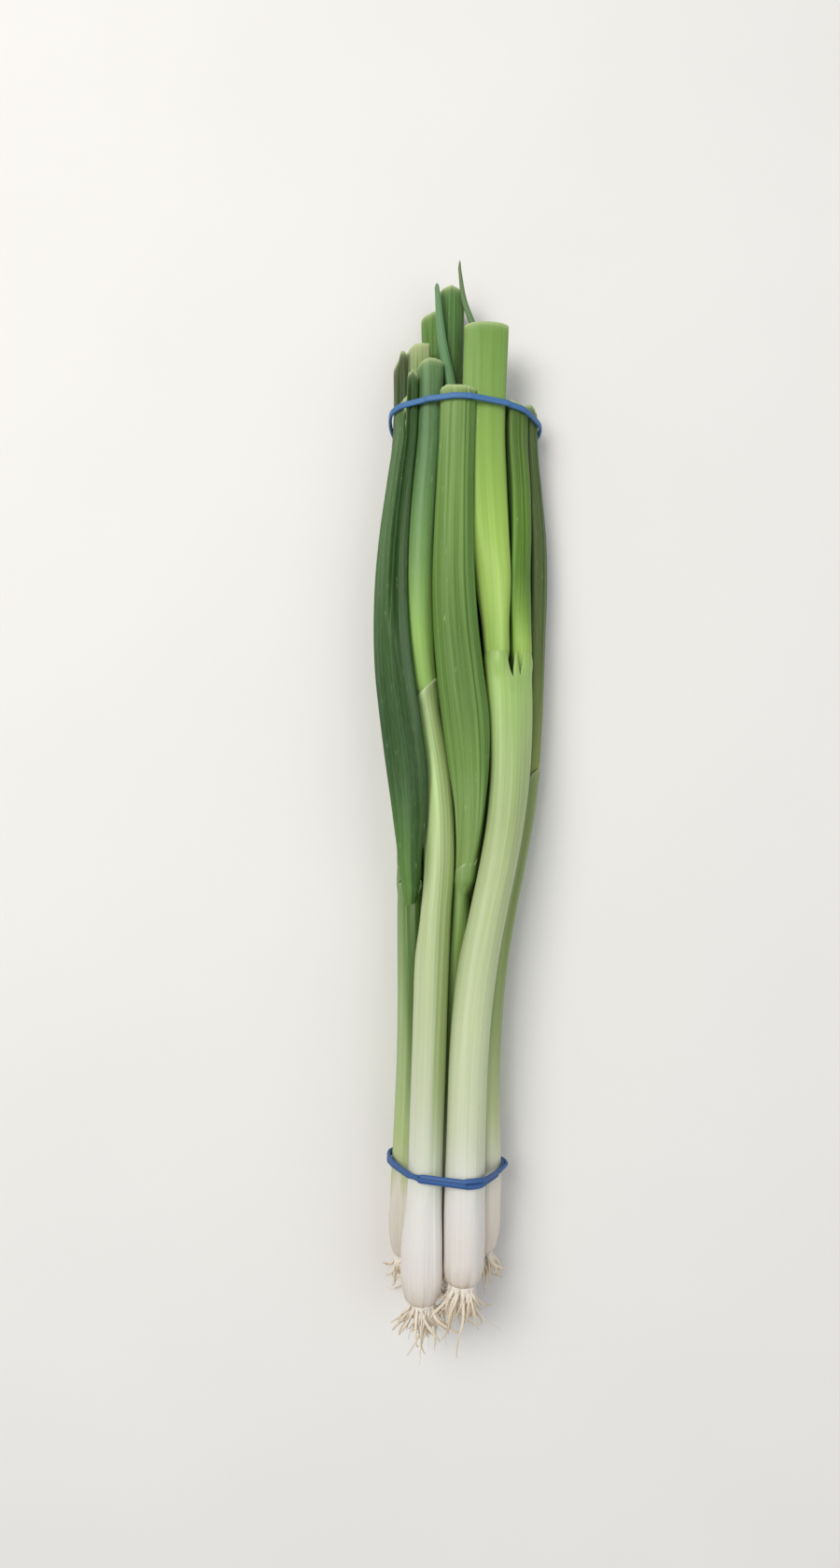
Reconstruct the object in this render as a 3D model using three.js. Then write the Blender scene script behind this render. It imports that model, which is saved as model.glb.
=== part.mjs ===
// A bunch of seven spring onions, lying on a table and held by two rubber bands.
// Each onion is a white shank with a tuft of roots at its foot and two or three leaves above.
//
// Frame: +Y runs along the bunch towards the leaf tips, +X across it, +Z up from the table, millimetres.
// Shanks, leaves and tufts are strands: runs of rings, each ring in a plane of constant Y. A strand has a
// natural oval outline, and where two strands press on each other both are flattened on the plane between.
import * as THREE from "three";

// ---- Sizes of the bunch ----
const GAP = 0.36; // clearance that is left between touching pieces
const RING_STEP = 14; // spacing of the rings along a strand
const LEAST_STEP = 2.5; // the closest that two rings of a strand may be
const LEAF_POINTS = 14; // points round a leaf
const SHANK_POINTS = 16; // points round a shank
const ROOT_POINTS = 12; // points round a tuft of roots
const SINK = 0.55; // how far the lowest strands are pressed flat by the table
const SHANK_GIVE = 0.1; // how far a firm shank is dented by its neighbour
const LEAF_GIVE = 0.45; // the same for a leaf, which is hollow

// The shanks lie in rows of 2, 3 and 2, like stacked pipes.
const SHANK_PITCH = 10.0; // centre to centre
const ROW_RISE = (SHANK_PITCH * Math.sqrt(3)) / 2;

// The two rubber bands. slant: how much further along Y each lies, per millimetre across and up.
const LOWER_BAND = { y: -102, width: 3.0, thickness: 1.1, slant: [-0.04, -0.09] };
const UPPER_BAND = { y: 117.5, width: 2.3, thickness: 1.1, slant: [0, 0.28] };
const BAND_POINTS = 44; // points along a band
const BAND_SEAT = 6; // length each side of a band over which the bunch is straight
const BAND_ROOM = 16; // length each side of a band over which the bunch rises off the table

// The leaves at the upper band fill an oval of this half width and height.
const LEAF_HALF_WIDTH = 19.4;
const LEAF_HEIGHT = 22.5;
const BELLY = 0.23; // how much wider the bunch is at its belly, between the bands
const BELLY_RISE = 0.06; // the same for its height, which its own weight holds down
const BELLY_START = -85;
const BELLY_PEAK = 0.72; // where the belly is widest, as a share of the way to the upper band
const SPLAY = 0.07; // how much wider the bunch spreads, as a share, over this length above the upper band
const SPLAY_LENGTH = 40;
const REARRANGE = [-75, 45]; // the stretch over which the shanks' order turns into the leaves' order
const BOW_PLACE = 6; // Y where an onion swings furthest sideways
const BOW_LENGTH = 40; // length each side of that over which it swings back
const FLATTENING = 60; // length below the split over which a shank flattens
const SPLIT_SHAPE = [1.3, 0.82]; // half sizes of a shank at its split, as shares of its radius
const LEAF_OPENING = 50; // length over which a leaf takes its full width after it leaves the shank
const LEAF_SPREAD = 75; // length over which a leaf reaches its own place
const LEAF_NARROWING = 0.12; // how much of its width a leaf loses on its way to the upper band
const NARROWING_START = 20; // Y from which it narrows

// A shank rounds in to its root plate over the foot's length, and swells a little above that. swell: by how
// much, as a share of its radius. above: how far over the root plate. length: how far the swelling reaches.
const FOOT = { length: 6.5, plate: 0.62, rings: [1.0, 3.2] };
const BULB = { swell: 0.05, above: 14, length: 12 };

// A young leaf comes free of the older ones at this height above the split, and ends in a blunt point.
const YOUNG = { start: 45, first: 0.4, opening: 25, taper: 50, blunt: 4 };

// A tuft of roots widens from its neck to its flare and narrows to its end, as shares of the shank's radius.
const TUFT = { neck: 0.55, flare: 1.12, flareAt: 0.35, loss: 0.7, power: 1.6, depth: 0.85 };
const TUFT_DROOP = 0.1; // how far a tuft hangs down at its end, as a share of its height
const TUFT_RINGS = [0.2, 0.4, 0.7]; // where its rings are, as shares of its length

// ---- The onions ----
// slot: column and row of the shank in the stack. base: Y of the root plate. split: Y where the leaves part.
// bow: how far it swings sideways between the bands. roots: length of the tuft. swell: its own bulb, if
// it is fatter than the others.
// leaf at: place at the upper band, across as a share of the half width and up as a share of the height.
// cut: Y of its end. tilt: degrees that its flat side is turned, anticlockwise as seen from the roots.
// narrow: share of its width that it loses. lift, sway: how far it climbs onto its neighbour between the
// bands, and swings to +X. point: how far a young leaf's tip leans, and the Y where it starts to.
const ONIONS = [
  {
    slot: [-0.62, 2], radius: 4.9, base: -141, split: 34, bow: 5.5, roots: 15, swell: 0.27,
    leaves: [
      { name: "tube_leaf", at: [-0.52, 0.74], width: 9.4, thickness: 7.2, tilt: 20, cut: 132.5 },
      { name: "pale_leaf", at: [-0.72, 0.48], width: 9.0, thickness: 4.8, tilt: 30, cut: 139.5 },
    ],
  },
  {
    slot: [0.5, 2], radius: 5.7, base: -135, split: 44, bow: 3, roots: 26,
    leaves: [
      { name: "bright_leaf", at: [0.28, 0.84], width: 13.4, thickness: 5.0, tilt: -8, cut: 142.5, narrow: 0 },
      { name: "side_leaf", at: [0.8, 0.64], width: 10.4, thickness: 5.0, tilt: -46, cut: 121.5 },
    ],
  },
  {
    slot: [-0.97, 1], radius: 4.7, base: -131, split: -22, bow: 4, roots: 12,
    leaves: [
      {
        name: "dark_leaf", at: [-0.86, 0.7], width: 15.4, thickness: 3.8, tilt: 36, cut: 127,
        narrow: 0.42, lift: 4.5,
      },
      { name: "edge_leaf", at: [-0.93, 0.4], width: 8.6, thickness: 4.4, tilt: 74, cut: 136.5 },
    ],
  },
  {
    slot: [0, 1], radius: 4.8, base: -132, split: -20, bow: 4, roots: 13,
    leaves: [
      {
        name: "front_leaf", at: [-0.1, 0.93], width: 14.4, thickness: 4.0, tilt: 4, cut: 124,
        narrow: 0.26, lift: 2.5, sway: 4,
      },
      {
        name: "long_leaf", at: [-0.22, 0.46], width: 10.4, thickness: 6.4, tilt: 0, cut: 156.5,
        narrow: 0.26,
      },
      {
        name: "tip_leaf", at: [-0.12, 0.7], width: 5.0, thickness: 2.6, tilt: 0, cut: 155.5,
        point: [-6.5, 108],
      },
    ],
  },
  {
    slot: [1, 1], radius: 5.2, base: -129, split: 12, bow: 4, roots: 13,
    leaves: [
      { name: "edge_leaf", at: [1, 0.36], width: 9.8, thickness: 4.8, tilt: -74, cut: 121.5 },
      { name: "inner_leaf", at: [0.46, 0.46], width: 11.6, thickness: 6.4, tilt: -10, cut: 122 },
      {
        name: "tip_leaf", at: [0.34, 0.58], width: 3.4, thickness: 3.0, tilt: 0, cut: 162.5,
        point: [-9.5, 128],
      },
    ],
  },
  {
    slot: [-0.5, 0], radius: 5.3, base: -137, split: 8, bow: 0, roots: 17,
    leaves: [
      { name: "under_leaf", at: [-0.8, 0.15], width: 10.0, thickness: 5.2, tilt: 12, cut: 131 },
      { name: "long_leaf", at: [-0.46, 0.13], width: 9.6, thickness: 5.8, tilt: 0, cut: 152.5 },
    ],
  },
  {
    slot: [0.5, 0], radius: 5.0, base: -130, split: 20, bow: 0, roots: 18,
    leaves: [
      { name: "long_leaf", at: [0.1, 0.13], width: 10.2, thickness: 6.0, tilt: 0, cut: 134 },
      { name: "under_leaf", at: [0.62, 0.15], width: 11.4, thickness: 5.6, tilt: -10, cut: 122 },
    ],
  },
];

const WHITE = new THREE.MeshStandardMaterial({ color: 0xe6e2d4, roughness: 0.45, metalness: 0 });
const ROOT = new THREE.MeshStandardMaterial({ color: 0xcdbb99, roughness: 0.85, metalness: 0 });
const RUBBER = new THREE.MeshStandardMaterial({ color: 0x1f5fae, roughness: 0.55, metalness: 0 });
const green = (hex) => new THREE.MeshStandardMaterial({ color: hex, roughness: 0.5, metalness: 0 });
const LEAF_COLOURS = {
  tube_leaf: green(0x6f9f4c), pale_leaf: green(0x9db765), bright_leaf: green(0x9cc653),
  side_leaf: green(0x5f8f38), dark_leaf: green(0x3f6b40), edge_leaf: green(0x567f45),
  front_leaf: green(0x6c9a45), long_leaf: green(0x4f8a41), tip_leaf: green(0x3d7a4d),
  inner_leaf: green(0x6a9a48), under_leaf: green(0x5a8b45),
};

// ---- Curves along Y ----
const { clamp, lerp, smoothstep, degToRad } = THREE.MathUtils;

// How far the lowest strands stand clear of the table at Y: a band needs its thickness under them.
function floorUnder(y) {
  const near = (band) => 1 - smoothstep(Math.abs(y - band.y), BAND_SEAT, BAND_ROOM);
  const rise = (band) => (band.thickness + 2 * GAP) * near(band);
  return Math.max(rise(LOWER_BAND), rise(UPPER_BAND));
}

// From 0 at the start of the belly to 1 at its widest, and back to 0 at the upper band.
function bellyAt(y) {
  const way = clamp((y - BELLY_START) / (UPPER_BAND.y - BELLY_START), 0, 1);
  const power = Math.log(0.5) / Math.log(BELLY_PEAK);
  return Math.sin(Math.PI * way ** power) ** 1.5;
}

const splayAt = (y) => 1 + SPLAY * Math.max(0, (y - UPPER_BAND.y) / SPLAY_LENGTH);
const bowAt = (y) => Math.exp(-(((y - BOW_PLACE) / BOW_LENGTH) ** 2));

function shankPlace(onion) {
  const [column, row] = onion.slot;
  return [column * SHANK_PITCH, SHANK_PITCH / 2 - SINK + row * ROW_RISE];
}

const leafPlace = (leaf) => [leaf.at[0] * LEAF_HALF_WIDTH, leaf.at[1] * LEAF_HEIGHT];

// The direction from an onion's first leaf to its second, in which its shank flattens.
function partingAngle(onion) {
  const [first, second] = onion.leaves.map(leafPlace);
  return Math.atan2(second[1] - first[1], second[0] - first[0]);
}

function mean(places) {
  return [0, 1].map((axis) => places.reduce((sum, place) => sum + place[axis], 0) / places.length);
}

// The centre at Y of something that has one place among the shanks and another among the leaves.
function centreAt(y, low, high, bow) {
  const turned = smoothstep(y, ...REARRANGE);
  const belly = bellyAt(y);
  const x = lerp(low[0], high[0], turned) * (1 + BELLY * belly) * splayAt(y) + bow * bowAt(y);
  const z = lerp(low[1], high[1], turned) * (1 + BELLY_RISE * belly);
  return [x, z + floorUnder(y) * (1 - z / LEAF_HEIGHT)];
}

// ---- Strands ----
// natural(y) gives a strand's own oval { x, z, half: [wide, thin], tilt } in the plane of that Y.
// root: the strand that this one grows from, whose sideways shift it shares below its start.
function shankStrand(onion, name) {
  const low = shankPlace(onion);
  const high = mean(onion.leaves.slice(0, 2).map(leafPlace));
  const tilt = partingAngle(onion);
  return {
    name, start: onion.base, end: onion.split, points: SHANK_POINTS, give: SHANK_GIVE, material: WHITE,
    foot: FOOT.rings.map((height) => onion.base + height),
    natural(y) {
      const foot = clamp((y - onion.base) / FOOT.length, 0, 1);
      const round = lerp(FOOT.plate, 1, Math.sqrt(1 - (1 - foot) ** 2));
      const fromBulb = (y - onion.base - BULB.above) / BULB.length;
      const bulb = 1 + (onion.swell ?? BULB.swell) * Math.exp(-(fromBulb ** 2));
      const radius = onion.radius * round * bulb;
      const flat = smoothstep(y, onion.split - FLATTENING, onion.split);
      const [x, z] = centreAt(y, low, high, onion.bow);
      return { x, z, half: SPLIT_SHAPE.map((share) => radius * lerp(1, share, flat)), tilt };
    },
  };
}

function leafStrand(onion, leaf, name, root) {
  const low = shankPlace(onion);
  const middle = mean(onion.leaves.slice(0, 2).map(leafPlace));
  const place = leafPlace(leaf);
  const away = Math.atan2(place[1] - middle[1], place[0] - middle[0]);
  const young = leaf.point !== undefined;
  const start = onion.split + (young ? YOUNG.start : GAP);
  // The turn from lying across the split to the leaf's own tilt, by the shorter way.
  let turn = degToRad(leaf.tilt) - (away + Math.PI / 2);
  turn -= Math.PI * Math.round(turn / Math.PI);
  return {
    name, root, start, end: leaf.cut, points: LEAF_POINTS, give: LEAF_GIVE, foot: [],
    material: LEAF_COLOURS[leaf.name],
    natural(y) {
      const way = smoothstep(y, onion.split, Math.min(onion.split + LEAF_SPREAD, UPPER_BAND.y));
      const open = smoothstep(y, onion.split, onion.split + LEAF_OPENING);
      const [shankX, shankZ] = centreAt(y, low, middle, onion.bow);
      const [ownX, ownZ] = centreAt(y, low, place, onion.bow);
      const offset = young ? 0 : (onion.radius * SPLIT_SHAPE[0]) / 2;
      let x = lerp(shankX + offset * Math.cos(away), ownX, way) + (leaf.sway ?? 0) * bowAt(y);
      const z = lerp(shankZ + offset * Math.sin(away), ownZ, way) + (leaf.lift ?? 0) * bowAt(y);
      const lost = leaf.narrow ?? LEAF_NARROWING;
      const narrow = 1 - lost * smoothstep(y, NARROWING_START, UPPER_BAND.y);
      let wide = lerp(onion.radius * SPLIT_SHAPE[1], leaf.width / 2, open) * narrow;
      let thin = lerp(offset, leaf.thickness / 2, open);
      if (young) {
        const grown = lerp(YOUNG.first, 1, smoothstep(y, start, start + YOUNG.opening));
        const size = grown * Math.sqrt(clamp((leaf.cut + YOUNG.blunt - y) / YOUNG.taper, 0, 1));
        wide = (leaf.width / 2) * size;
        thin = (leaf.thickness / 2) * size;
        x += leaf.point[0] * smoothstep(y, leaf.point[1], leaf.cut);
      }
      return { x, z, half: [wide, thin], tilt: away + Math.PI / 2 + turn * open };
    },
  };
}

function rootStrand(onion, name, root) {
  const low = shankPlace(onion);
  const end = onion.base - GAP;
  return {
    name, root, start: onion.base - onion.roots, end, points: ROOT_POINTS, give: LEAF_GIVE,
    foot: TUFT_RINGS.map((share) => end - share * onion.roots),
    material: ROOT,
    natural(y) {
      const way = clamp((end - y) / (onion.roots - GAP), 0, 1);
      const [x, z] = centreAt(onion.base, low, low, 0);
      const flare = lerp(TUFT.neck, TUFT.flare, smoothstep(way, 0, TUFT.flareAt));
      const radius = onion.radius * flare * (1 - TUFT.loss * way ** TUFT.power);
      return { x, z: z * (1 - TUFT_DROOP * way), half: [radius, radius * TUFT.depth], tilt: 0 };
    },
  };
}

// ---- How strands press on each other ----
// Half the extent of an oval along the direction at this angle.
function reach(oval, angle) {
  const [wide, thin] = oval.half;
  return Math.hypot(wide * Math.cos(angle - oval.tilt), thin * Math.sin(angle - oval.tilt));
}

// The direction from a to b in which they overlap least, and the room between them there.
function leastOverlap(a, b) {
  const room = (angle) =>
    (b.x - a.x) * Math.cos(angle) + (b.z - a.z) * Math.sin(angle) - reach(a, angle) - reach(b, angle);
  let best = { angle: 0, room: -Infinity };
  const tries = 36;
  for (let step = 0; step < tries; step++) {
    const angle = (step * 2 * Math.PI) / tries;
    if (room(angle) > best.room) best = { angle, room: room(angle) };
  }
  for (let width = Math.PI / tries; width > 0.002; width /= 2) {
    for (const angle of [best.angle - width, best.angle + width]) {
      if (room(angle) > best.room) best = { angle, room: room(angle) };
    }
  }
  return best;
}

// The planes of constant Y in which the strands are fitted together: a step apart, and both sides of a band.
const BANDS = [LOWER_BAND, UPPER_BAND];
const STATIONS = BANDS.flatMap((band) => [band.y - BAND_SEAT, band.y + BAND_SEAT]);
const ENDS = ONIONS.flatMap((onion) => [onion.roots - onion.base, ...onion.leaves.map((leaf) => leaf.cut)]);
const LONGEST = Math.max(...ENDS);
for (let y = -RING_STEP * Math.ceil(LONGEST / RING_STEP); y <= LONGEST + RING_STEP; y += RING_STEP) {
  if (BANDS.every((band) => Math.abs(y - band.y) > BAND_SEAT + LEAST_STEP)) STATIONS.push(y);
}
STATIONS.sort((a, b) => a - b);

// Shifts the strands apart in every station until they only dent each other, and rests them on the table.
const SETTLING_ROUNDS = 60;
const PUSH = 0.25; // how much of an overlap each of the two strands gives way to in a round
const STIFFNESS = 0.3; // how much of a bend between stations is taken out in each round
const RETURN = 0.985; // how much of its shift a strand keeps in each round

function settle(strands) {
  for (const strand of strands) strand.shift = STATIONS.map(() => [0, 0]);
  for (let round = 0; round < SETTLING_ROUNDS; round++) {
    STATIONS.forEach((y, k) => {
      const here = strands.filter((strand) => y >= strand.start && y <= strand.end);
      for (const [index, strand] of here.entries()) {
        for (const other of here.slice(index + 1)) {
          const [a, b] = [ovalAt(strand, y), ovalAt(other, y)];
          const far = Math.max(...a.half) + Math.max(...b.half);
          if (Math.hypot(b.x - a.x, b.z - a.z) > far) continue;
          const { angle, room } = leastOverlap(a, b);
          const push = PUSH * Math.max(0, -strand.give - other.give - room);
          strand.shift[k][0] -= push * Math.cos(angle);
          strand.shift[k][1] -= push * Math.sin(angle);
          other.shift[k][0] += push * Math.cos(angle);
          other.shift[k][1] += push * Math.sin(angle);
        }
      }
      for (const strand of here) {
        const oval = ovalAt(strand, y);
        const sunk = floorUnder(y) + reach(oval, -Math.PI / 2) - SINK - oval.z;
        strand.shift[k][1] += Math.max(0, sunk);
      }
    });
    for (const strand of strands) {
      const before = strand.shift.map((place) => [...place]);
      STATIONS.forEach((y, k) => {
        const sides = mean([before[Math.max(k - 1, 0)], before[Math.min(k + 1, STATIONS.length - 1)]]);
        for (const axis of [0, 1]) {
          strand.shift[k][axis] = RETURN * lerp(before[k][axis], sides[axis], STIFFNESS);
        }
      });
    }
    for (const strand of strands) joinToRoot(strand, strands);
  }
}

// A strand and the one that it grows from keep the same shift beyond the place where they join.
function joinToRoot(strand, strands) {
  const grown = strands.filter((other) => other.root === strand && other.start > strand.start).slice(0, 2);
  STATIONS.forEach((y, k) => {
    if (strand.root && !(y >= strand.start && y <= strand.end)) {
      const above = y > strand.end && strand.start > strand.root.start;
      if (!above) strand.shift[k] = [...strand.root.shift[k]];
    }
    if (grown.length && y > strand.end) strand.shift[k] = mean(grown.map((other) => other.shift[k]));
  });
}

// A strand's oval at Y where it has come to rest.
function ovalAt(strand, y) {
  const oval = strand.natural(y);
  const upper = clamp(STATIONS.findIndex((station) => station >= y), 1, STATIONS.length - 1);
  const way = (y - STATIONS[upper - 1]) / (STATIONS[upper] - STATIONS[upper - 1]);
  oval.x += lerp(strand.shift[upper - 1][0], strand.shift[upper][0], way);
  oval.z += lerp(strand.shift[upper - 1][1], strand.shift[upper][1], way);
  return oval;
}

// The flats that cut a strand's oval at Y: each is a direction and a distance from its centre.
// They also clear the neighbours half way to the next rings, so that the surface between stays clear.
function flatsAt(strand, y, strands) {
  const half = RING_STEP / 2;
  const flats = [{ angle: -Math.PI / 2, distance: ovalAt(strand, y).z - floorUnder(y) }];
  for (const other of strands) {
    if (other === strand || other === strand.root || other.root === strand) continue;
    for (const near of [y - half, y, y + half]) {
      const place = clamp(near, strand.start, strand.end);
      const otherPlace = clamp(near, other.start, other.end);
      if (Math.abs(place - otherPlace) > half) continue;
      const oval = ovalAt(strand, place);
      const { angle, room } = leastOverlap(oval, ovalAt(other, otherPlace));
      if (room < GAP) flats.push({ angle, distance: reach(oval, angle) + (room - GAP) / 2 });
    }
  }
  return flats.map(({ angle, distance }) => ({ x: Math.cos(angle), z: Math.sin(angle), distance }));
}

// A strand's ring at Y, as points [x, z].
function ringAt(strand, y, strands) {
  const oval = ovalAt(strand, y);
  const flats = flatsAt(strand, y, strands);
  // A point that lies well inside every flat, measured from the oval's centre.
  const inside = [0, 0];
  const margin = Math.min(1, oval.half[1] / 2);
  for (let round = 0; round < 12; round++) {
    for (const flat of flats) {
      const depth = Math.max(0, inside[0] * flat.x + inside[1] * flat.z - flat.distance + margin);
      inside[0] -= depth * flat.x;
      inside[1] -= depth * flat.z;
    }
  }
  const ring = [];
  for (let step = 0; step < strand.points; step++) {
    const turn = (step * 2 * Math.PI) / strand.points;
    const [wide, thin] = [oval.half[0] * Math.cos(turn), oval.half[1] * Math.sin(turn)];
    const out = [
      wide * Math.cos(oval.tilt) - thin * Math.sin(oval.tilt) - inside[0],
      wide * Math.sin(oval.tilt) + thin * Math.cos(oval.tilt) - inside[1],
    ];
    let share = 1;
    for (const flat of flats) {
      const along = out[0] * flat.x + out[1] * flat.z;
      const left = flat.distance - inside[0] * flat.x - inside[1] * flat.z;
      if (along > 0) share = Math.min(share, left / along);
    }
    ring.push([oval.x + inside[0] + share * out[0], oval.z + inside[1] + share * out[1]]);
  }
  return ring;
}

// ---- Meshes ----
// A closed surface over rings of [x, y, z] points. A loop joins its last ring to its first, a run has ends.
function loft(rings, loop = false) {
  const count = rings[0].length;
  const vertices = rings.flat(2);
  const faces = [];
  const quad = (a, b, c, d) => faces.push(a, b, c, a, c, d);
  for (let ring = 0; ring < rings.length - (loop ? 0 : 1); ring++) {
    const next = (ring + 1) % rings.length;
    for (let step = 0; step < count; step++) {
      const side = (step + 1) % count;
      quad(ring * count + step, next * count + step, next * count + side, ring * count + side);
    }
  }
  if (!loop) {
    for (const [ring, out] of [[0, false], [rings.length - 1, true]]) {
      const centre = vertices.length / 3;
      for (let axis = 0; axis < 3; axis++) {
        vertices.push(rings[ring].reduce((sum, point) => sum + point[axis], 0) / count);
      }
      for (let step = 0; step < count; step++) {
        const edge = [ring * count + step, ring * count + ((step + 1) % count)];
        faces.push(centre, ...(out ? edge.reverse() : edge));
      }
    }
  }
  const geometry = new THREE.BufferGeometry();
  geometry.setAttribute("position", new THREE.Float32BufferAttribute(vertices, 3));
  geometry.setIndex(faces);
  return geometry;
}

// A mesh whose own origin is at its place.
function meshAt(name, geometry, material, place) {
  geometry.translate(-place[0], -place[1], -place[2]);
  geometry.computeVertexNormals();
  const mesh = new THREE.Mesh(geometry, material);
  mesh.name = name;
  mesh.position.set(...place);
  return mesh;
}

// The planes of a strand's rings: its ends, its foot, and the stations that are not too near those.
function planesOf(strand) {
  const own = [strand.start, ...strand.foot, strand.end];
  const apart = (y) => own.every((plane) => Math.abs(y - plane) > LEAST_STEP);
  const between = STATIONS.filter((y) => y > strand.start && y < strand.end && apart(y));
  return [...own, ...between].sort((a, b) => a - b);
}

function strandMesh(strand, strands) {
  const rings = planesOf(strand).map((y) => ringAt(strand, y, strands).map(([x, z]) => [x, y, z]));
  const { x, z } = ovalAt(strand, strand.start);
  return meshAt(strand.name, loft(rings), strand.material, [x, strand.start, z]);
}

// A rubber band drawn tight round every strand that it crosses.
function bandMesh(name, band, strands) {
  const touched = [];
  const [low, high] = [band.y - BAND_SEAT, band.y + BAND_SEAT];
  for (const strand of strands.filter(({ start, end }) => start < high && end > low)) {
    const ends = [Math.max(low, strand.start), Math.min(high, strand.end)];
    ends.forEach((y) => touched.push(...ringAt(strand, y, strands)));
  }
  const middle = mean(touched);
  // The line that touches the bunch on the side at this step, that far out from it.
  const tangent = (step, out) => {
    const angle = (step * 2 * Math.PI) / BAND_POINTS;
    const [cos, sin] = [Math.cos(angle), Math.sin(angle)];
    const far = Math.max(...touched.map(([x, z]) => (x - middle[0]) * cos + (z - middle[1]) * sin));
    return { cos, sin, far: far + out };
  };
  // The corner between two neighbouring lines.
  const corner = (step, out) => {
    const a = tangent(step, out);
    const b = tangent(step + 1, out);
    const turn = a.cos * b.sin - a.sin * b.cos;
    return [
      middle[0] + (a.far * b.sin - b.far * a.sin) / turn,
      middle[1] + (a.cos * b.far - b.cos * a.far) / turn,
    ];
  };
  const rings = [];
  for (let step = 0; step < BAND_POINTS; step++) {
    const half = band.width / 2;
    const [inner, outer] = [corner(step, GAP), corner(step, GAP + band.thickness)];
    const slope = (point) =>
      band.y + band.slant[0] * (point[0] - middle[0]) + band.slant[1] * (point[1] - middle[1]);
    const section = [[inner, -half], [inner, half], [outer, half * 0.8], [outer, -half * 0.8]];
    rings.push(section.map(([point, along]) => [point[0], slope(point) + along, point[1]]));
  }
  return meshAt(name, loft(rings, true), RUBBER, [middle[0], band.y, middle[1]]);
}

// ---- The bunch ----
const plants = ONIONS.map((onion, index) => {
  const label = `onion_${index + 1}`;
  const shank = shankStrand(onion, `${label}_shank`);
  const leaves = onion.leaves.map((leaf) => leafStrand(onion, leaf, `${label}_${leaf.name}`, shank));
  return { label, strands: [shank, rootStrand(onion, `${label}_roots`, shank), ...leaves] };
});
const strands = plants.flatMap((plant) => plant.strands);
settle(strands);

const bunch = new THREE.Group();
for (const plant of plants) {
  const group = new THREE.Group();
  group.name = plant.label;
  plant.strands.forEach((strand) => group.add(strandMesh(strand, strands)));
  bunch.add(group);
}
bunch.add(bandMesh("lower_rubber_band", LOWER_BAND, strands));
bunch.add(bandMesh("upper_rubber_band", UPPER_BAND, strands));

// The origin is on the table, under the middle of the bunch.
const box = new THREE.Box3().setFromObject(bunch);
const centre = box.getCenter(new THREE.Vector3());
bunch.position.set(-centre.x, -centre.y, -box.min.z);

export default bunch;
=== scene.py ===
import math
import bpy
import numpy as np
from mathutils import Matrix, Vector
from mathutils.geometry import convex_hull_2d


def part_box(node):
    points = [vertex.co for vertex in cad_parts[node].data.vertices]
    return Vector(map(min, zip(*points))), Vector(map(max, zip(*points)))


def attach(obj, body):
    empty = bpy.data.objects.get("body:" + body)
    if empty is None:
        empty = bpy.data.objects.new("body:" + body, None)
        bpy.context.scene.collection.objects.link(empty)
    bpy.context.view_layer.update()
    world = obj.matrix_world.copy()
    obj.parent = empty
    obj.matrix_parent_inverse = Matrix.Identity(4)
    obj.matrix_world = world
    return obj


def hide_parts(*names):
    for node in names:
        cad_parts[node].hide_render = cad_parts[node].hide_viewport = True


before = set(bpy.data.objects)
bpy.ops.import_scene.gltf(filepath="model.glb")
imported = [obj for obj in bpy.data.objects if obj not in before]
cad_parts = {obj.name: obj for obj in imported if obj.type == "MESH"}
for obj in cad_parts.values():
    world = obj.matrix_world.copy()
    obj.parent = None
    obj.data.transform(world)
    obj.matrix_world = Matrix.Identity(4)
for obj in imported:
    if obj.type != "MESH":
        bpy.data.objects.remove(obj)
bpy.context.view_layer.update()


# ---------------------------------------------------------------- the seven shanks
# The pale stem of each onion: leaf sheaths rolled one inside the next, swollen to a
# small bulb over the root plate. The outermost sheath ends above in a thin torn
# mouth, and the leaves come up out of it. Sizes are in millimetres.

MM = 0.001
AROUND = 144      # steps round a shank or leaf: underside, left side, top, right side
ROUNDING = 10     # the sharpest unevenness an outline keeps, in waves to the turn
RING_GAP = 0.3    # levels closer together than this are one ring of the plain model
TABLE_GAP = 0.02  # no skin comes nearer to the table than this
SIDES = np.arange(AROUND) / AROUND


def even_steps(corners):
    """A rounded loop through the corners in even steps, clockwise from its underside."""
    if (np.conj(corners) * np.roll(corners, -1)).imag.sum() > 0:
        corners = corners[::-1]
    closed = np.append(corners, corners[0])
    run = np.append(0, np.cumsum(abs(np.diff(closed))))
    loop = np.interp(np.linspace(0, run[-1], AROUND, endpoint=False), run, closed)
    waves = np.fft.fftfreq(AROUND, 1 / AROUND)
    loop = np.fft.ifft(np.fft.fft(loop) * np.exp(-(waves / ROUNDING) ** 2))
    lowest = np.argmin(abs(np.angle((loop - loop.mean()) * 1j)))
    return np.roll(loop, -lowest)


def outlines(node):
    """The levels along a strand, and its outline at each as points across + up."""
    spots = np.array([v.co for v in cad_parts[node].data.vertices]) / MM
    spots = np.unique(spots.round(3), axis=0)
    spots = spots[np.argsort(spots[:, 1])]
    levels, loops = [], []
    for ring in np.split(spots, np.flatnonzero(np.diff(spots[:, 1]) > RING_GAP) + 1):
        hull = convex_hull_2d([Vector((x, z)) for x, z in ring[:, [0, 2]]])
        loops.append(even_steps(ring[hull, 0] + 1j * ring[hull, 2]))
        levels.append(ring[:, 1].mean())
    return np.array(levels), np.array(loops)


def between(levels, loops, at):
    """The outlines at other levels, on smooth curves through the known ones."""
    slope = np.gradient(loops, levels, axis=0)
    low = np.clip(np.searchsorted(levels, at, side="right") - 1, 0, len(levels) - 2)
    rise = (levels[low + 1] - levels[low])[:, None]
    t = np.clip((at - levels[low])[:, None] / rise, 0, 1)
    return (loops[low] * (1 + 2 * t) * (1 - t) ** 2 + slope[low] * rise * t * (1 - t) ** 2
            + loops[low + 1] * t * t * (3 - 2 * t) + slope[low + 1] * rise * t * t * (t - 1))


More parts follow.
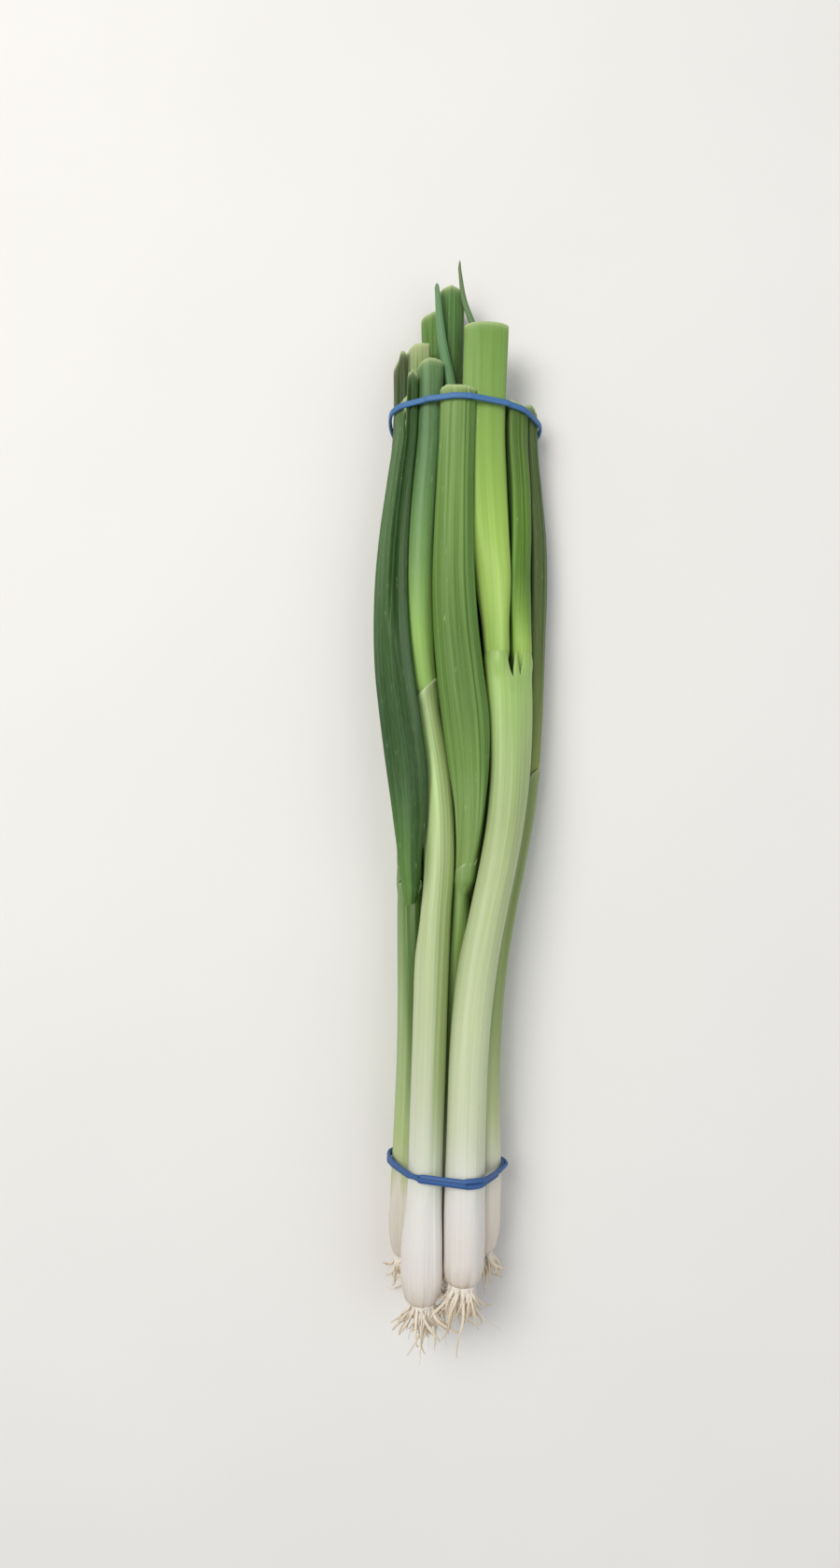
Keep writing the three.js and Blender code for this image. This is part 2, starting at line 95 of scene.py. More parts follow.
def pushed(loops, outwards):
    """The outlines moved square to themselves by so many millimetres."""
    along = np.roll(loops, -1, -1) - np.roll(loops, 1, -1)
    return loops + 1j * along / np.maximum(abs(along), 1e-6) * outwards


def uneven(chance, at, turns, run, waves=6):
    """Unevenness of about 1: from and to so many waves a turn, and run millimetres long."""
    total = np.zeros((len(at), AROUND))
    for _ in range(waves):
        around = chance.integers(turns[0], turns[1] + 1) * SIDES
        drift = np.asarray(at)[:, None] * chance.uniform(-1, 1) / run
        total += chance.uniform(0.5, 1) * np.cos(2 * np.pi * (around + drift + chance.random()))
    return total / math.sqrt(waves)


def ease(low, high, value):
    """0 up to low, 1 from high on, and an easy curve between. A low above high turns it round."""
    t = np.clip((value - low) / (high - low), 0, 1)
    return t * t * (3 - 2 * t)


def wrapped(name, loops, at, poles, marks):
    """A closed skin over rows of outlines, each end drawn together to a pole."""
    rows = len(loops)
    points = np.stack([loops.real, np.broadcast_to(at, loops.shape), loops.imag], -1)
    points = np.vstack([points.reshape(-1, 3), poles]) * MM
    points[:, 2] = np.maximum(points[:, 2], TABLE_GAP * MM)
    k = np.arange(AROUND)
    after = (k + 1) % AROUND
    faces = []
    for row in range(rows - 1):
        low, high = row * AROUND, (row + 1) * AROUND
        faces += np.column_stack([low + k, low + after, high + after, high + k]).tolist()
    top, pole = (rows - 1) * AROUND, rows * AROUND
    faces += np.column_stack([np.full(AROUND, pole), after, k]).tolist()
    faces += np.column_stack([np.full(AROUND, pole + 1), top + k, top + after]).tolist()
    mesh = bpy.data.meshes.new(name)
    mesh.from_pydata(points.tolist(), [], faces)
    corner = np.empty(len(mesh.loops), np.int32)
    mesh.loops.foreach_get("vertex_index", corner)
    turn = np.append(np.tile(SIDES, rows), [0.5, 0.5])[corner]
    first = np.zeros(len(mesh.polygons), np.int32)
    mesh.polygons.foreach_get("loop_start", first)
    face = np.repeat(np.arange(len(first)), np.diff(np.append(first, len(corner))))
    # On the last step round, the first column counts as a whole turn and not as none.
    last_step = np.zeros(len(first), bool)
    np.logical_or.at(last_step, face, turn > 0.9)
    turn = np.where(last_step[face] & (turn < 0.1), 1.0, turn)
    uv = np.column_stack([turn, points[corner, 1] * 10]).astype(np.float32)
    mesh.uv_layers.new(name="wrap").data.foreach_set("uv", uv.ravel())
    for mark, values in marks.items():
        values = np.append(np.broadcast_to(values, loops.shape).ravel(), [0, 0])
        mesh.attributes.new(mark, "FLOAT", "POINT").data.foreach_set("value", values)
    mesh.shade_smooth()
    piece = bpy.data.objects.new(name, mesh)
    bpy.context.collection.objects.link(piece)
    return piece


SHEATH = 0.55         # thickness of the outer sheath well below its mouth
LIP = 0.12            # and at its torn edge
MOUTH_DEPTH = 8.0     # how far down the mouth the inside of the sheath shows
PROUD = 0.12          # how far the skin stands outside the plain model's outline
CLIMB = 24.0          # how far above the split the paths up the leaves are worked out
SPLIT_WIDTH = 0.035   # half the width of the split between two leaves, in turns
WEB_WIDTH = 0.028     # and of the thin tongue in it
FRAY = 0.3            # unevenness of the torn edge
VEIN_HEIGHT = 0.018   # height of the fine veins along a shank
DENT_HEIGHT = 0.13    # and of its broad unevenness
OVERLAP = 0.22        # height of the step where the outermost sheath wraps over itself

# shoulder: how far the sheath runs up each leaf. notch: how far it is split down
# between them. web: the thin tongue in the split. lean: how much higher on the right.
# rim: how pale its torn edge is. sunk: how far that edge has grown into the leaf.
MOUTHS = {
    1: dict(shoulder=2.0, notch=0.5, web=0.0, lean=4.5, rim=0.45, sunk=0.0),
    2: dict(shoulder=8.0, notch=3.5, web=5.5, lean=1.0, rim=0.1, sunk=0.35),
    3: dict(shoulder=3.5, notch=1.5, web=0.0, lean=-3.5, rim=0.3, sunk=0.1),
    4: dict(shoulder=4.0, notch=1.5, web=0.0, lean=5.0, rim=0.3, sunk=0.1),
    5: dict(shoulder=5.0, notch=2.0, web=0.0, lean=-3.0, rim=0.3, sunk=0.1),
    6: dict(shoulder=4.0, notch=2.0, web=1.0, lean=2.0, rim=0.3, sunk=0.1),
    7: dict(shoulder=5.0, notch=2.5, web=1.5, lean=-1.0, rim=0.3, sunk=0.1),
}

leaf_nodes = sorted(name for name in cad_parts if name.endswith("leaf"))
shanks = {}
for number, mouth in MOUTHS.items():
    chance = np.random.default_rng(number)
    name = f"onion_{number}_shank"
    levels, loops = outlines(name)
    foot, split = levels[0], levels[-1]

    # Above the split each step of the sheath climbs the leaf that it lies against.
    above = np.arange(split + 1, split + CLIMB, 1.0)
    climbed = []
    for leaf in leaf_nodes:
        if leaf.startswith(f"onion_{number}_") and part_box(leaf)[0].y / MM < split + 1:
            leaf_levels, leaf_loops = outlines(leaf)
            hug = PROUD - mouth["sunk"] * ease(split + 1, split + 5, above)[:, None]
            path = pushed(between(leaf_levels, leaf_loops, above), hug)
            climbed.append((leaf_loops[0], path))
    starts = np.concatenate([start for start, _ in climbed])
    nearest = np.argmin(abs(loops[-1][:, None] - starts[None]), axis=1)
    upper = np.concatenate([path for _, path in climbed], axis=1)[:, nearest]
    own = nearest // AROUND
    changes = SIDES[own != np.roll(own, 1)]
    away = abs((SIDES[:, None] - changes[None] + 0.5) % 1 - 0.5).min(axis=1)
    slit = 0.03 if mouth["web"] else 0.0
    notch = mouth["notch"] * np.clip(1 - abs(away - slit) / SPLIT_WIDTH, 0, 1)
    tongue = mouth["web"] * np.clip(1 - away / WEB_WIDTH, 0, 1)
    reach = (mouth["shoulder"] * ease(0.03, 0.14, away) - notch + tongue
             - mouth["lean"] * np.sin(2 * np.pi * SIDES)
             + FRAY * uneven(chance, [0], (5, 16), 10)[0])
    # Between the leaves it stands up straight from its own edge instead.
    straight = pushed(loops[-1], PROUD)[None] + (upper.mean(axis=1) - loops[-1].mean())[:, None]
    free = np.exp(-(away / SPLIT_WIDTH) ** 2)
    upper = upper * (1 - free) + straight * free

    fine = np.arange(foot, split - 3, 0.5)
    path = np.vstack([between(levels, pushed(loops, PROUD), fine), upper])
    stations = np.append(fine, above)
    bulb = foot + np.array([0, 0.3, 0.7, 1.2, 1.9, 2.8])
    body = np.append(bulb, np.arange(foot + 4, split - MOUTH_DEPTH, 1.6))
    lip = split - MOUTH_DEPTH + (MOUTH_DEPTH + reach) * np.linspace(0, 1, 15)[:, None]
    at = np.vstack([np.repeat(body[:, None], AROUND, 1), lip])
    outer = np.array([np.interp(at[:, k], stations, path[:, k]) for k in range(AROUND)]).T
    middle = at.mean(axis=1)
    swell = ease(foot, foot + 10, at)
    veins = VEIN_HEIGHT * uneven(chance, middle, (16, 34), 260)
    dents = DENT_HEIGHT * uneven(chance, middle, (2, 5), 60)
    relief = (veins + dents) * swell
    # The outermost sheath wraps over itself: a low step that wanders down the side.
    edge = 0.70 + 0.02 * np.sin(middle / 31 + number) - 0.1 * (number % 3)
    across = SIDES[None] - edge[:, None]
    wrap = OVERLAP * ease(-0.012, 0.004, across) * (1 - ease(0.02, 0.2, across))
    relief += wrap * swell * (1 - ease(split - 30, split, at))
    outer = pushed(outer, relief * (1 - ease(split - 10, split, at)))

    # The root plate: a blunt, slightly drawn-in disc under the bulb (share of its width, drop).
    heart = outer[0].mean()
    plate = [(0.35, -0.9), (0.7, -0.75), (0.9, -0.4)]
    base = np.array([heart + (outer[0] - heart) * share for share, _ in plate])
    base_at = np.array([np.full(AROUND, foot + drop) for _, drop in plate])

    # Over the torn edge and back down inside.
    depth = lip[-1] - lip[::-1]
    wall = LIP + (SHEATH - LIP) * ease(3, 14, depth)
    inner = pushed(outer[-len(lip):][::-1], -wall)
    rows = np.vstack([base, outer, inner])
    rows_at = np.vstack([base_at, at, lip[::-1]])
    throat = inner[-1].mean()
    poles = [(heart.real, foot - 1.0, heart.imag), (throat.real, lip[0].mean(), throat.imag)]
    torn = np.vstack([base.real * 0, np.exp(-(lip[-1] - at) / 0.9), np.exp(-depth / 1.5)])
    inside = np.vstack([base.real * 0, at * 0, depth * 0 + 1])
    shank = wrapped(f"shank_{number}", rows, rows_at, poles, {"cut": torn, "inside": inside})
    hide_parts(name)
    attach(shank, "root")
    shanks[number] = shank


def tint(code):
    """A colour such as #a0b47e as Blender's linear numbers."""
    parts = [int(code[i:i + 2], 16) / 255 for i in (1, 3, 5)]
    return [p / 12.92 if p < 0.04045 else ((p + 0.055) / 1.055) ** 2.4 for p in parts] + [1]


def wire(tree, kind, feeds, **settings):
    """A node in the tree with its sockets fed by other sockets or by plain values."""
    node = tree.nodes.new("ShaderNode" + kind)
    for setting, value in settings.items():
        setattr(node, setting, value)
    for socket, source in feeds.items():
        if isinstance(source, bpy.types.NodeSocket):
            tree.links.new(source, node.inputs[socket])
        else:
            node.inputs[socket].default_value = source
    return node


def sum_of(tree, how, *values):
    """The result of a sum on sockets or plain values."""
    return wire(tree, "Math", dict(enumerate(values)), operation=how).outputs[0]


def spread(tree, value, low, high, to_low=0.0, to_high=1.0):
    """The value stretched from low..high to to_low..to_high, and held there beyond."""
    return wire(tree, "MapRange", {0: value, 1: low, 2: high, 3: to_low, 4: to_high}).outputs[0]


def over(tree, amount, under, upper, how="MIX"):
    """One colour laid over another."""
    feeds = {0: amount, 6: under, 7: upper}
    return wire(tree, "Mix", feeds, data_type="RGBA", blend_type=how).outputs[2]


# Plant skin is streaked along its length: broad soft streaks, fine parallel veins,
# and small scattered scars. The pattern closes on itself round the strand.
streaks = bpy.data.node_groups.new("lengthwise streaks", "ShaderNodeTree")
streaks.interface.new_socket("Seed", in_out="INPUT", socket_type="NodeSocketFloat")
for made in ("Streak", "Vein", "Scar", "Side", "Along"):
    streaks.interface.new_socket(made, in_out="OUTPUT", socket_type="NodeSocketFloat")
given, out = streaks.nodes.new("NodeGroupInput"), streaks.nodes.new("NodeGroupOutput")
uv = wire(streaks, "SeparateXYZ", {0: wire(streaks, "UVMap", {}, uv_map="wrap").outputs[0]})
angle = sum_of(streaks, "MULTIPLY", uv.outputs[0], 2 * math.pi)
seed = sum_of(streaks, "MULTIPLY", given.outputs[0], 7.3)
circle = wire(streaks, "CombineXYZ", {0: sum_of(streaks, "COSINE", angle), 1: sum_of(streaks, "SINE", angle)})
# how often each changes round the strand and along it, and in how much detail
for made, across, along, detail in (("Streak", 1.9, 1.1, 3), ("Vein", 9.0, 1.6, 3), ("Scar", 7.0, 26, 2)):
    lift = sum_of(streaks, "MULTIPLY_ADD", uv.outputs[1], along, seed)
    lifted = wire(streaks, "CombineXYZ", {2: lift}).outputs[0]
    far = wire(streaks, "VectorMath", {0: circle.outputs[0], 1: (across, across, 0), 2: lifted},
               operation="MULTIPLY_ADD")
    noise = wire(streaks, "TexNoise", {"Vector": far.outputs[0], "Scale": 1.0, "Detail": detail,
                                       "Roughness": 0.6})
    streaks.links.new(noise.outputs[0], out.inputs[made])
streaks.links.new(uv.outputs[0], out.inputs["Side"])
streaks.links.new(sum_of(streaks, "MULTIPLY", uv.outputs[1], 100.0), out.inputs["Along"])


def ripening(tree, along, streak, ragged, stops):
    """Colour that changes along the strand in millimetres, its borders torn into flames."""
    first, last = stops[0][0], stops[-1][0]
    flame = sum_of(tree, "MULTIPLY_ADD", sum_of(tree, "SUBTRACT", streak, 0.5), ragged, along)
    ramp = wire(tree, "ValToRGB", {0: spread(tree, flame, first, last)})
    marks = ramp.color_ramp.elements
    for position, code in stops[1:-1]:
        marks.new((position - first) / (last - first)).color = tint(code)
    marks[0].color, marks[-1].color = tint(stops[0][1]), tint(stops[-1][1])
    return ramp.outputs[0]


def skin_of(name):
    """A new material, its node tree and its shader."""
    material = bpy.data.materials.new(name)
    material.use_nodes = True
    return material, material.node_tree, material.node_tree.nodes["Principled BSDF"]


# Each shank: its colours from the foot up, and a greener side where the green of the
# outer leaf runs down it (where round the shank, how wide, how far down, which green).
SHANK_COLOURS = {
    1: ([(-143, "#b9a58a"), (-140, "#d0c3b3"), (-134, "#dcd5cd"), (-124, "#dedad6"), (-109, "#dcdbd4"),
         (-98, "#d0d4c2"), (-82, "#c3caac"), (-61, "#bac59a"), (-20, "#aebf86"), (14, "#b4d186"),
         (36, "#b6d58a")],
        (0.65, 0.125, -106, "#8ba05a")),
    2: ([(-137, "#bba78c"), (-134, "#d2c6b8"), (-128, "#dcd5ce"), (-111, "#dedbd6"), (-101, "#d3d5c4"),
         (-92, "#c9cfb2"), (-80, "#c5cea9"), (-61, "#c0cb9f"), (0, "#9fb275"), (19, "#a1ba75"),
         (35, "#9fc06a"), (46, "#98bc5b"), (52, "#9cc05c")],
        (0.80, 0.05, -95, "#b0be80")),
    3: ([(-131, "#cdc2b4"), (-113, "#d2cdc0"), (-106, "#b9c094"), (-95, "#a3b576"), (-80, "#9db177"),
         (-60, "#8ca465"), (-22, "#64863e")],
        (0.56, 0.12, -92, "#43641d")),
    4: ([(-133, "#cfc4b6"), (-112, "#d3cec0"), (-98, "#c4cda0"), (-80, "#b0c47a"), (-60, "#9cb864"),
         (-20, "#7c9c52")],
        (0.40, 0.10, -92, "#56752e")),
    5: ([(-130, "#dccfc0"), (-111, "#e2dacd"), (-100, "#d2d5b6"), (-88, "#bdc890"), (-61, "#9eb06c"),
         (-30, "#8fa55c"), (12, "#778f4c")],
        (0.72, 0.12, -92, "#7e9150")),
    6: ([(-138, "#d2c7ba"), (-120, "#d8d2c6"), (-101, "#cbcfb2"), (-80, "#b2c188"), (-50, "#9fb470"),
         (8, "#7f9a52")],
        (0.30, 0.09, -90, "#6f8a40")),
    7: ([(-131, "#d0c5b8"), (-116, "#d6d0c4"), (-100, "#c6ccab"), (-82, "#adbe82"), (-50, "#98b067"),
         (20, "#78954c")],
        (0.72, 0.08, -94, "#6c8840")),
}

for number, (stops, (side, width, down, green)) in SHANK_COLOURS.items():
    skin, tree, shader = skin_of(f"shank_skin_{number}")
    marks = wire(tree, "Group", {}, node_tree=streaks)
    marks.inputs["Seed"].default_value = number
    streak, vein, scar = marks.outputs["Streak"], marks.outputs["Vein"], marks.outputs["Scar"]
    colour = ripening(tree, marks.outputs["Along"], streak, 26.0, stops)
    off = sum_of(tree, "ABSOLUTE", sum_of(tree, "SUBTRACT", marks.outputs["Side"], side))
    ragged = sum_of(tree, "MULTIPLY_ADD", vein, 0.05, off)
    strip = spread(tree, ragged, width + 0.045, width - 0.01)
    flames = sum_of(tree, "MULTIPLY_ADD", vein, 60.0, marks.outputs["Along"])
    fade = spread(tree, flames, down + 20, down + 60)
    run_down = sum_of(tree, "MULTIPLY", sum_of(tree, "MULTIPLY", strip, fade), 0.85)
    colour = over(tree, run_down, colour, tint(green))
    colour = over(tree, spread(tree, vein, 0.5, 0.75, 0.0, 0.22), colour, tint("#e6e6d8"))
    colour = over(tree, spread(tree, vein, 0.46, 0.3, 0.0, 0.12), colour, tint("#8c9a62"), "MULTIPLY")
    colour = over(tree, spread(tree, scar, 0.70, 0.78, 0.0, 0.6), colour, tint("#a58a62"))
    cut = wire(tree, "Attribute", {}, attribute_name="cut").outputs["Fac"]
    colour = over(tree, sum_of(tree, "MULTIPLY", cut, MOUTHS[number]["rim"]), colour, tint("#cfd8a8"))
    wet = spread(tree, sum_of(tree, "MULTIPLY_ADD", streak, 0.6, scar), 0.4, 1.1, 0.34, 0.5)
    height = sum_of(tree, "MULTIPLY_ADD", scar, 0.35, vein)
    bump = wire(tree, "Bump", {"Height": height, "Strength": 0.25, "Distance": 0.0002})
    tree.links.new(colour, shader.inputs["Base Color"])
    tree.links.new(wet, shader.inputs["Roughness"])
    tree.links.new(bump.outputs[0], shader.inputs["Normal"])
    shader.inputs["Subsurface Weight"].default_value = 0.25
    shader.inputs["Subsurface Radius"].default_value = (1.0, 0.9, 0.6)
    shader.inputs["Subsurface Scale"].default_value = 0.0018
    shanks[number].data.materials.append(skin)


# ---------------------------------------------------------------- the root tufts
# A bush of thin fleshy roots springs from under each root plate: cream, drying to
# tan at the ends, curled and crossing, with finer hairs between. The lowest lie on
# the table.

ROOT_STEPS = 18
ROOT_SIDES = 7
STOUT = (0.4, 0.62)   # half the thickness of the fleshy roots, thinnest and thickest
HAIR = 0.17           # and of the hairs, of which there are half as many
SAG = 0.035           # how much each step of a root turns down
# how many roots, how long the longest are, how far they fan out, and which way they lean
TUFTS = {1: (84, 17, 0.38, -0.02), 2: (90, 22, 0.30, -0.10), 3: (46, 12, 0.4, -0.1), 4: (42, 14, 0.4, 0.0),
         5: (56, 14, 0.32, 0.12), 6: (52, 16, 0.4, -0.1), 7: (52, 17, 0.4, 0.1)}

fibre, tree, shader = skin_of("root_fibre")
uv = wire(tree, "SeparateXYZ", {0: wire(tree, "UVMap", {}, uv_map="wrap").outputs[0]})
speckle = wire(tree, "TexNoise", {"Scale": 900.0, "Detail": 3.0}).outputs[0]
patch = wire(tree, "TexNoise", {"Scale": 160.0, "Detail": 2.0}).outputs[0]
age = sum_of(tree, "MULTIPLY_ADD", sum_of(tree, "SUBTRACT", patch, 0.5), 0.8, uv.outputs[1])
ramp = wire(tree, "ValToRGB", {0: age})
ramp.color_ramp.elements[0].color = tint("#efe6d8")
ramp.color_ramp.elements[1].color = tint("#cbb493")
for position, code in ((0.35, "#e7dbc8"), (0.7, "#dccdb4")):
    ramp.color_ramp.elements.new(position).color = tint(code)
colour = over(tree, spread(tree, speckle, 0.58, 0.72, 0.0, 0.4), ramp.outputs[0], tint("#b8a07e"))
bump = wire(tree, "Bump", {"Height": speckle, "Strength": 0.4, "Distance": 0.0001})
tree.links.new(colour, shader.inputs["Base Color"])
tree.links.new(spread(tree, patch, 0.3, 0.7, 0.5, 0.75), shader.inputs["Roughness"])
tree.links.new(bump.outputs[0], shader.inputs["Normal"])
shader.inputs["Subsurface Weight"].default_value = 0.3
shader.inputs["Subsurface Radius"].default_value = (1.0, 0.9, 0.7)
shader.inputs["Subsurface Scale"].default_value = 0.001

for number, (many, longest, fan, lean) in TUFTS.items():
    chance = np.random.default_rng(40 + number)
    levels, loops = outlines(f"onion_{number}_shank")
    foot, heart = levels[0], loops[0].mean()
    plate = abs(loops[0] - heart).mean()
    points, faces, uvs = [], [], []
    for root in range(many + many // 2):
        hair = root >= many
        turn = chance.uniform(0, 2 * np.pi)
        rim = math.sqrt(chance.uniform(0.05, 1))
        start = np.array([heart.real + plate * rim * math.cos(turn), foot - 0.6 + 0.8 * rim ** 3,
                          heart.imag + plate * rim * math.sin(turn)])
        length = longest * (chance.uniform(0.6, 1) if chance.random() < 0.25 else chance.uniform(0.3, 0.62))
        aim = np.array([fan * rim * math.cos(turn) + lean + chance.normal(0, 0.16), -1.0,
                        fan * rim * math.sin(turn) - 0.08 + chance.normal(0, 0.16)])
        aim /= np.linalg.norm(aim)
        curl = chance.normal(0, 1, (3, 3)) * np.array([[0.55], [0.5], [0.4]])
        thick = (HAIR if hair else chance.uniform(*STOUT)) * (0.8 + 0.2 * plate / 3)
        spot, heading, spine = start, aim, [start]
        for step in range(1, ROOT_STEPS):
            share = step / ROOT_STEPS
            bend = sum(curl[w] * math.sin((w + 1) * 3.1 * share + w + turn) for w in range(3))
            heading = heading + 0.12 * bend * (0.5 + share) + np.array([0, 0, -SAG])
            heading /= np.linalg.norm(heading)
            spot = spot + heading * length / ROOT_STEPS
            floor = thick * 0.6
            if spot[2] < floor:
                spot[2] = floor
                heading[2] = abs(heading[2]) * 0.2
            spine.append(spot.copy())
        spine = np.array(spine)
        ahead = np.gradient(spine, axis=0)
        ahead /= np.linalg.norm(ahead, axis=1)[:, None]
        across = np.cross(ahead, [0.3, 0.1, 1.0])
        across /= np.linalg.norm(across, axis=1)[:, None]
        upward = np.cross(across, ahead)
        share = np.linspace(0, 1, ROOT_STEPS)
        taper = 1.12 - 0.92 * share ** 1.4
        knobs = 1 + 0.12 * np.sin(share * 23 + turn)
        collar = 1 + 0.5 * np.exp(-share * 18)
        girth = thick * taper * knobs * collar
        ring = np.linspace(0, 2 * np.pi, ROOT_SIDES, endpoint=False)
        tube = (spine[:, None] + girth[:, None, None] * (np.cos(ring)[None, :, None] * across[:, None]
                + np.sin(ring)[None, :, None] * upward[:, None]))
        low = len(points)
        ends = np.array([spine[0] - ahead[0] * 0.3, spine[-1] + ahead[-1] * 0.4])
        points += tube.reshape(-1, 3).tolist() + ends.tolist()
        for row in range(ROOT_STEPS - 1):
            for k in range(ROOT_SIDES):
                a, b = low + row * ROOT_SIDES + k, low + row * ROOT_SIDES + (k + 1) % ROOT_SIDES
                faces.append((a, a + ROOT_SIDES, b + ROOT_SIDES, b))
                uvs += [(0, share[row]), (0, share[row + 1]), (0, share[row + 1]), (0, share[row])]
        last = low + (ROOT_STEPS - 1) * ROOT_SIDES
        for k in range(ROOT_SIDES):
            j = (k + 1) % ROOT_SIDES
            faces += [(len(points) - 2, low + k, low + j), (len(points) - 1, last + j, last + k)]
            uvs += [(0, 0.0)] * 3 + [(0, 1.0)] * 3
    points = np.array(points)
    points[:, 2] = np.maximum(points[:, 2], TABLE_GAP)
    mesh = bpy.data.meshes.new(f"roots_{number}")
    mesh.from_pydata((points * MM).tolist(), [], faces)
    mesh.uv_layers.new(name="wrap").data.foreach_set("uv", np.array(uvs, np.float32).ravel())
    mesh.shade_smooth()
    mesh.materials.append(fibre)
    roots = bpy.data.objects.new(f"roots_{number}", mesh)
    bpy.context.collection.objects.link(roots)
    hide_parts(f"onion_{number}_roots")
    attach(roots, "root")


# ---------------------------------------------------------------- the leaves
# Hollow tubes with a waxy skin and lengthwise veins, pressed flat by their
# neighbours. They were cut across with a knife, so each ends in an open mouth with a
# thin pale wall. Where a leaf was torn or creased it says so below.

WALL = 0.48          # thickness of a leaf's wall
HOLLOW = 34.0        # how far down from the cut the leaf is open
TUCKED = 7.0         # how far the leaf reaches down inside its sheath
TRIMMED = 24.0       # how far below the knife line its slant begins
LEAF_PROUD = 0.16    # how far the skin stands outside the plain model's outline
RIB_HEIGHT = 0.022   # height of the fine ribs along a leaf
WAVE_HEIGHT = 0.10   # and of its broad unevenness

